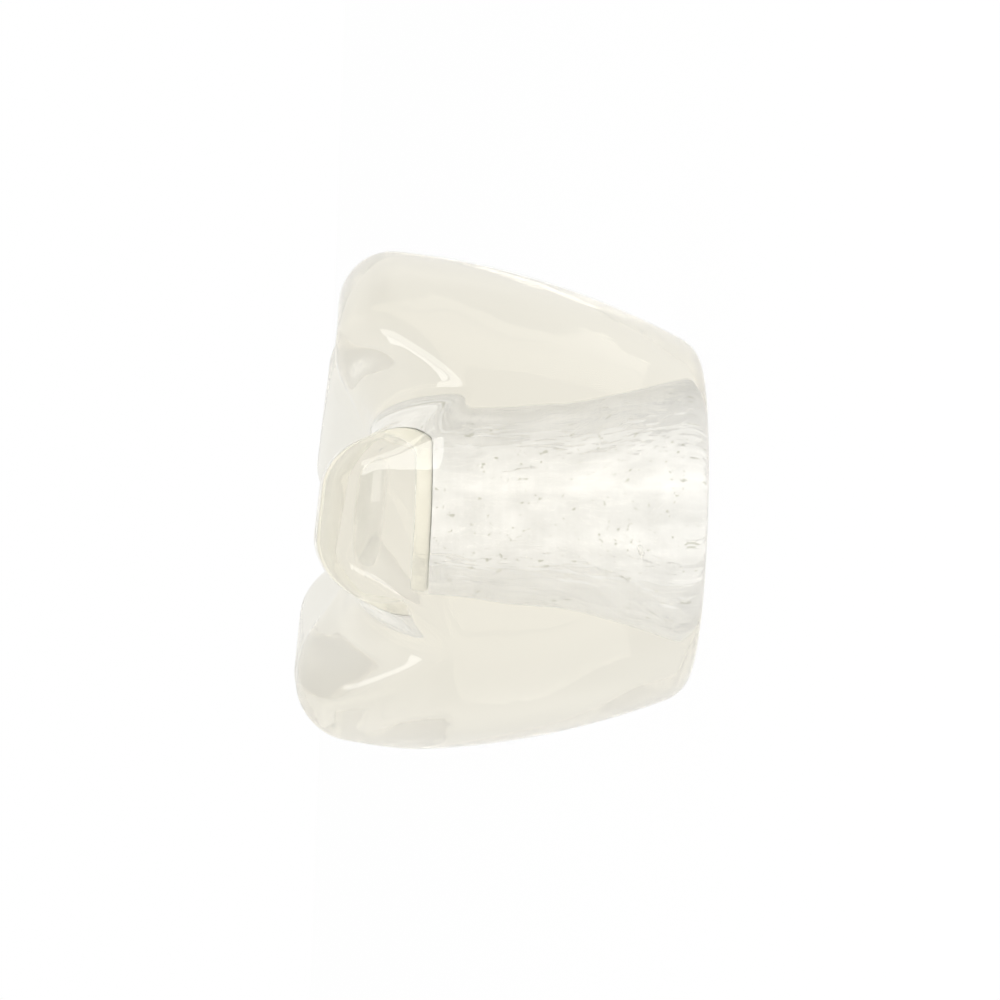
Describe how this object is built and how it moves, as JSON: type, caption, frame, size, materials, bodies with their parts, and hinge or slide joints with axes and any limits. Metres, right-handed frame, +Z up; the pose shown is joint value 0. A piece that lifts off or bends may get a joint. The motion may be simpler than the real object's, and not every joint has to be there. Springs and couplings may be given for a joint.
{
  "type": "glass insulator",
  "caption": "Clear pressed-glass insulator with a lobed crown, and a frosted bushing in its flared pin socket.",
  "frame": {"origin": "on the axis of the pin socket, in the plane of the glass mouth that the insulator stands on", "axes": "+Z up through the crown, along the pin; -Y towards the lobe that faces the camera; +X towards the side where the leaning crown is lowest"},
  "size_m": [0.063, 0.0633, 0.0501],
  "materials": {
    "clear_glass": "clear, fire-polished, faintly warm",
    "frosted_bushing": "frosted, translucent, with fine rings",
    "clear_pad": "clear, smooth",
    "mouth_seal": "translucent, satin"
  },
  "bodies": {
    "root": {"glass_body": "clear_glass", "pin_bushing": "frosted_bushing", "head_pad": "clear_pad", "mouth_ring": "mouth_seal"}
  },
  "joints": []
}
